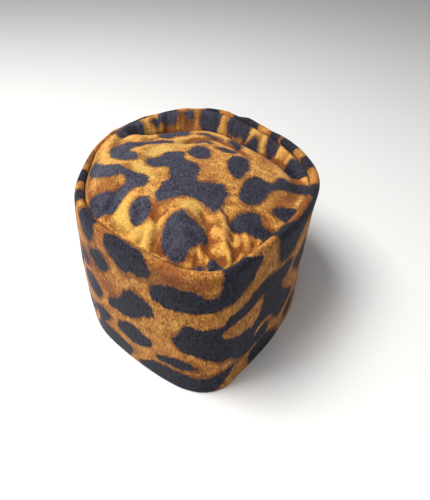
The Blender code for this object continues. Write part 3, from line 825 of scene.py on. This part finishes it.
def band_points(rows):
    """The section carried round the outline, a ring of points for each row."""
    lift = 1.0 + outline("rim_rise", AZIMUTH) / BAND_HEIGHT
    at_back = share_between(np.sin(np.radians(AZIMUTH - PUCKER_TURN)), PUCKER_SINES)
    points = []
    for inset, height, _ in rows:
        slack = smooth_step(height / HEM_HOLDS)
        slack = slack * smooth_step((BAND_HEIGHT + RIM_SLACK - height) / RIM_HOLDS)
        sway = waves(WALL_WAVES, ALONG, np.full(SECTORS, height), PERIMETER)
        pucker = waves(PUCKER_WAVES, ALONG, np.zeros(SECTORS), PERIMETER)
        pucker = (PUCKER_LEAST + PUCKER_BACK * at_back) * pucker * share_between(height, PUCKER_HEIGHTS)
        x, y = outline_point(AZIMUTH, height, inset - sway * slack)
        points.append(np.stack((x, y, height * lift + pucker), axis=1))
    return np.concatenate(points)


def print_shifts():
    """Where the print is repeated, the first time without a shift."""
    wide = PERIMETER / PRINT_COLUMNS
    tall = PRINT_DROP * PRINT_COLUMNS
    shifts = [(0.0, 0.0)]
    for column in (-1, 1):
        for row in (-1, 0, 1):
            shifts.append((column * wide, column * PRINT_DROP + row * tall))
    return shifts + [(x + (PERIMETER if x < 0 else -PERIMETER), y) for x, y in shifts[1:]]


def repeated_spots(along, up, shifts):
    """Distance outside the spots of the sides and the back, which shrink towards rim and front."""
    repeats = spots_at(along, up, BAND_SPOTS, BAND_GAPS, shifts)
    front = np.minimum(along - FRONT_FROM, FRONT_TO - along) + waves(FRONT_WAVES, up, along)
    room = np.minimum(REPEAT_TOP - up, -front)
    shrink = REPEAT_SHRINK * np.clip(1.0 - room / REPEAT_MARGIN, 0.0, 1.0)
    return np.maximum(repeats + shrink, -room)


def seam_shade_strength():
    """How strong the painted shade in the seam inside the rim is: the narrow rim at the back hides the
    seam.
    """
    return share_between(outline("rim_width", AZIMUTH), SEAM_WIDTHS)


def print_band(band, rows):
    """The print and the painted shade in the band's seam."""
    along = np.tile(ALONG, len(rows))
    up = np.concatenate([np.full(SECTORS, printed) for _, _, printed in rows])
    shifts = print_shifts()
    round_again = ((0.0, 0.0), (PERIMETER, 0.0), (-PERIMETER, 0.0))
    edge = np.minimum(spots_at(along, up, BAND_SPOTS, BAND_GAPS), repeated_spots(along, up, shifts[1:]))
    edge = np.minimum(edge, spots_at(along, up, RIM_SPOTS, shifts=round_again))
    dark = np.tile(seam_shade_strength(), len(rows)) * share_between(up, SEAM_SHADE)
    set_values(band, print_edge=edge, print_patch=patches_at(along, up, BAND_PATCHES, shifts),
               crease=np.zeros(len(along)), seam=dark)


def make_band():
    """The band, velvet outside and over the rim, lining inside."""
    rows = band_section()
    faces = ring_faces(len(rows), True)
    slots = np.zeros(len(faces), np.int32)
    slots[-(INSIDE_ROWS + 2) * SECTORS:] = 1
    materials = [velvet("band_velvet_print", BAND_LOOK), lining()]
    band = add_piece("kufi_band", band_points(rows), faces, materials, slots)
    print_band(band, rows)
    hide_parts("side_band")
    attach(band, "root")


# The crown

SEAM_MARGIN = 0.6        # the cloth stays level this far in from the seam
FOLD_FADE_IN = 5.0       # and its folds come up over this
FOLD_UNEVEN = ((0.45, 9.0, 33),)
FOLD_SHIFT_X = ((2.0, 10.0, 31), (0.9, 4.0, 34))
FOLD_SHIFT_Y = ((2.0, 10.0, 32),)
FOLD_START = (-0.15, 0.20)   # shares of a fold's run over which it comes up, and fades again
FOLD_END = (1.2, 0.7)
ROUND_POWER = 2.0        # power of a round fold's profile, and how much less a sharp one's is
SHARPER_BY = 0.8

RIPPLES = ((0.55, 30.0, 25), (0.28, 13.0, 26), (0.10, 6.0, 27))
REACH_WAVES = ((0.35, 11.0, 21),)
GATHER_SWAY = ((2.0, 14.0, 22),)
# The gathers are ridges of two sizes, as (height, how far sunk, size, how drawn out inwards, seed)
RIDGES = ((1.5, 0.45, 8.0, 4.0, 23), (0.8, 0.25, 4.6, 2.5, 24))
GATHER_START = 0.15      # how far the gathers have begun at the seam, and over what they come up
GATHER_RISE = 3.0
TILT_STEP = 0.5          # step inwards over which the cloth's steepness is taken
TILT_MOST = 1.5

EDGE_RINGS = (0.0, 0.5, 1.0, 1.6, 2.3, 3.1, 4.0)
RING_STEP = 1.4
RINGS_TO = 60.0          # from here on the rings close up to the middle by equal shares
MIDDLE_SHARES = np.arange(0.05, 0.99, 0.05)
FLANGE_DROP = 2.4        # the cloth's edge is turned down this far inside the seam
FLANGE_OUT = 0.1
# shares of the painted shade in the seam on the crown's first rings
SEAM_RINGS = (1.0, 1.0, 0.8, 0.4)

# How deep a point lies among its neighbours, for the painted shade in the creases and the painted highlight
# on the ridges
CREASE_REACH = 6         # sectors and rings either way with which a point's depth is compared
CREASE_RINGS = 4
CREASE_SIZE = 4.5
CREASE_FADE = 12         # rings over which the shading comes up from the seam
CREASE_DEPTHS = (-0.7, 3.0)


def fold_relief(x, y):
    """The height of the folds, each a ridge or a groove along its run."""
    relief = np.zeros_like(x)
    uneven = 1.0 + waves(FOLD_UNEVEN, x, y)
    x = x + waves(FOLD_SHIFT_X, x, y)
    y = y + waves(FOLD_SHIFT_Y, x, y)
    for row in FOLDS:
        fold = dict(zip(FOLD_COLUMNS, row))
        run_x, run_y = fold["in_x"] - fold["out_x"], fold["in_y"] - fold["out_y"]
        length = math.hypot(run_x, run_y)
        along = ((x - fold["out_x"]) * run_x + (y - fold["out_y"]) * run_y) / length ** 2
        across = ((y - fold["out_y"]) * run_x - (x - fold["out_x"]) * run_y) / length
        across = across - fold["bow"] * 4 * along * (1 - along)
        fade = share_between(along, FOLD_START) * share_between(along, FOLD_END)
        power = ROUND_POWER - SHARPER_BY * fold["crease"]
        profile = np.exp(-np.abs(across / fold["half_width"]) ** power)
        relief += fold["rise"] * fade * profile
    return relief * uneven


def dome_height(x, y):
    top_x, top_y = DOME_TOP
    return DOME_RISE - DOME_FALL_X * (x - top_x) ** 2 - DOME_FALL_Y * (y - top_y) ** 2


def crown_height(azimuth, inward, x, y):
    """The crown without its folds and gathers."""
    section = {name: round_table(SECTIONS, SECTION_COLUMNS, name, azimuth) for name in SECTION_COLUMNS[1:]}
    inward = np.maximum(inward - SEAM_MARGIN, 0.0)
    swell = 1.0 - np.clip(1.0 - inward / section["swell_in"], 0.0, 1.0) ** 2
    down = smooth_step(inward / section["trough_in"])
    up = smooth_step((inward - section["trough_in"]) / (section["dome_in"] - section["trough_in"]))
    seam = outline("rim_rise", azimuth) - outline("seam_drop", azimuth)
    rise = seam + (dome_height(x, y) - seam) * swell - section["trough_depth"] * (down - up)
    return BAND_HEIGHT + rise


def gather_relief(azimuth, along, inward, x, y):
    """The height of the gathers, which start at the seam and run out inwards."""
    height = round_table(GATHERS, GATHER_COLUMNS, "height", azimuth)
    reach = round_table(GATHERS, GATHER_COLUMNS, "reach", azimuth)
    reach = reach * (1.0 + waves(REACH_WAVES, along, np.zeros_like(along), PERIMETER))
    pull = smooth_step(inward / GATHER_RISE + GATHER_START) * smooth_step((reach - inward) / reach)
    bend = along + waves(GATHER_SWAY, x, y)
    gather = 0.0
    for ridge_height, sunk, size, drawn_out, seed in RIDGES:
        ridge = np.abs(wander(bend, inward / drawn_out, size, seed, PERIMETER))
        gather = gather + ridge_height * ridge - sunk
    return height * gather * pull


def from_middle(x, y):
    """Distance from the middle in plan, at least a millimetre."""
    return np.maximum(np.hypot(x, y), 1.0)


def inside_rim(azimuth, gap):
    """A point in plan, the gap in from the rim's inner side."""
    return outline_point(azimuth, BAND_HEIGHT, outline("rim_width", azimuth) + gap)


def crown_point(azimuth, along, inward):
    """A point of the crown, the given distance in from its seam."""
    edge_x, edge_y = inside_rim(azimuth, SEAM_GAP)
    share = inward / np.hypot(edge_x, edge_y)
    x, y = edge_x * (1 - share), edge_y * (1 - share)
    z = crown_height(azimuth, inward, x, y)
    fade = smooth_step((inward - SEAM_MARGIN) / FOLD_FADE_IN)
    relief = gather_relief(azimuth, along, inward, x, y) + fade * waves(RIPPLES, x, y)
    # Gathers and ripples stand square to the cloth, which is steep along the back
    nearer = 1 - TILT_STEP / from_middle(x, y)
    ahead = crown_height(azimuth, inward + TILT_STEP, x * nearer, y * nearer)
    slope = np.clip((ahead - z) / TILT_STEP, -TILT_MOST, TILT_MOST)
    square = relief / np.sqrt(1 + slope ** 2)
    away = from_middle(x, y)
    x, y = x + square * slope * x / away, y + square * slope * y / away
    z = z + square + fold_relief(x, y) * fade
    return np.stack((x, y, z), axis=1)


def creases(rings):
    """How deep each point lies below the cloth around it, in millimetres; negative on a ridge."""
    height = rings[:, :, 2]
    spacing = PERIMETER / SECTORS
    around = np.zeros_like(height)
    total = 0.0
    for sector in range(-CREASE_REACH, CREASE_REACH + 1):
        weight = math.exp(-(sector * spacing / CREASE_SIZE) ** 2)
        around += weight * np.roll(height, sector, axis=1)
        total += weight
    depth = around / total - height
    inner = slice(CREASE_RINGS, -CREASE_RINGS)
    depth[inner] += 0.5 * (height[2 * CREASE_RINGS:] + height[:-2 * CREASE_RINGS]) - height[inner]
    depth[:CREASE_FADE] *= np.linspace(0.0, 1.0, CREASE_FADE)[:, None]
    return np.clip(depth, *CREASE_DEPTHS).ravel()


def crown_rings():
    """Rings of points, from the edge turned down inside the seam inwards, and the middle point."""
    reach = np.hypot(*inside_rim(AZIMUTH, SEAM_GAP))
    inwards = list(EDGE_RINGS)
    while inwards[-1] < RINGS_TO:
        inwards.append(inwards[-1] + RING_STEP)
    rings = [crown_point(AZIMUTH, ALONG, np.full(SECTORS, inward)) for inward in inwards]
    left = reach - inwards[-1]
    rings += [crown_point(AZIMUTH, ALONG, inwards[-1] + left * share) for share in MIDDLE_SHARES]
    flange_x, flange_y = inside_rim(AZIMUTH, -FLANGE_OUT)
    flange = np.stack((flange_x, flange_y, rings[0][:, 2] - FLANGE_DROP), axis=1)
    return [flange] + rings, crown_point(AZIMUTH[:1], ALONG[:1], reach[:1])


def print_crown(crown, points, rings):
    """The print, the crease depths for the painted crease shade, and the painted shade in the crown's seam.
    """
    x, y = points[:, 0], points[:, 1]
    dark = np.zeros((len(rings), SECTORS))
    dark[:len(SEAM_RINGS)] = seam_shade_strength() * np.array(SEAM_RINGS)[:, None]
    set_values(crown, print_edge=spots_at(x, y, CROWN_SPOTS), print_patch=patches_at(x, y, CROWN_PATCHES),
               crease=np.append(creases(np.stack(rings)), 0.0), seam=np.append(dark.ravel(), 0.0))


def make_crown():
    """The crown, a sheet of velvet with the lining as its underside."""
    rings, middle = crown_rings()
    points = np.concatenate(rings + [middle])
    faces = ring_faces(len(rings), False)
    last = (len(rings) - 1) * SECTORS
    for sector in range(SECTORS):
        faces.append((last + sector, last + (sector + 1) % SECTORS, len(points) - 1))
    materials = [velvet("crown_velvet_print", CROWN_LOOK), lining()]
    crown = add_piece("kufi_crown", points, faces, materials)
    print_crown(crown, points, rings)
    cloth = crown.modifiers.new("cloth", "SOLIDIFY")
    cloth.thickness = CROWN_CLOTH * MM
    cloth.offset = -1.0
    cloth.material_offset = 1
    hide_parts("crown_top")
    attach(crown, "root")


# Floor, light and camera, in metres

FLOOR_HALF = 6.0
PALE_FLOOR = {"Base Color": (0.86, 0.86, 0.86), "Roughness": 0.9, "Specular IOR Level": 0.1}
SKY_STRENGTH = 0.25
AIM = (0.0, 0.0, 0.08)   # the middle of the cap
# Lamps as (name, place, size, power in watts, colour)
LAMPS = (
    ("key", (-0.42, -0.10, 0.95), 0.5, 13.3, (1.0, 0.985, 0.96)),
    ("front", (-0.50, -1.0, 0.50), 0.8, 3.1, (1.0, 1.0, 1.0)),
)

# The photo's camera: focal length in pixels, elevation, roll and place
FRAME_HEIGHT = 500.0
FOCAL = 455.0
SENSOR = 36.0
ELEVATION = math.radians(39.43)
ROLL = math.radians(2.844)
CAMERA_AT = (0.0121 + CENTRE_X * MM, -0.2806, 0.2635)
NEAREST = 0.01


def make_floor():
    mesh = bpy.data.meshes.new("floor")
    corners = [(x * FLOOR_HALF, y * FLOOR_HALF, 0) for x, y in ((-1, -1), (1, -1), (1, 1), (-1, 1))]
    mesh.from_pydata(corners, [], [(0, 1, 2, 3)])
    mesh.materials.append(new_material("pale_floor", PALE_FLOOR)[0])
    floor = add_object("floor", mesh)


def add_lamp(name, place, size, power, colour):
    """A square soft light aimed at the middle of the cap."""
    lamp = bpy.data.lights.new(name, "AREA")
    lamp.shape = "SQUARE"
    lamp.size = size
    lamp.energy = power
    lamp.color = colour
    light = add_object(name, lamp)
    turn = (Vector(place) - Vector(AIM)).to_track_quat("Z", "Y").to_matrix().to_4x4()
    light.matrix_world = Matrix.Translation(place) @ turn


def make_light():
    world = bpy.data.worlds.new("studio")
    world.use_nodes = True
    sky = world.node_tree.nodes["Background"]
    sky.inputs["Color"].default_value = (1.0, 1.0, 1.0, 1.0)
    sky.inputs["Strength"].default_value = SKY_STRENGTH
    bpy.context.scene.world = world
    for lamp in LAMPS:
        add_lamp(*lamp)
    bpy.context.scene.view_settings.view_transform = "Standard"


def make_camera():
    lens = bpy.data.cameras.new("camera")
    lens.sensor_fit = "VERTICAL"
    lens.sensor_height = SENSOR
    lens.lens = SENSOR * FOCAL / FRAME_HEIGHT
    lens.clip_start = NEAREST
    forward = np.array((0.0, math.cos(ELEVATION), -math.sin(ELEVATION)))
    up = np.array((0.0, math.sin(ELEVATION), math.cos(ELEVATION)))
    right = np.array((1.0, 0.0, 0.0))
    turned_right = right * math.cos(ROLL) + up * math.sin(ROLL)
    turned_up = up * math.cos(ROLL) - right * math.sin(ROLL)
    turn = Matrix((turned_right, turned_up, -forward)).transposed().to_4x4()
    camera = add_object("camera", lens)
    camera.matrix_world = Matrix.Translation(CAMERA_AT) @ turn
    bpy.context.scene.camera = camera


make_camera()
make_band()
make_crown()
make_floor()
make_light()
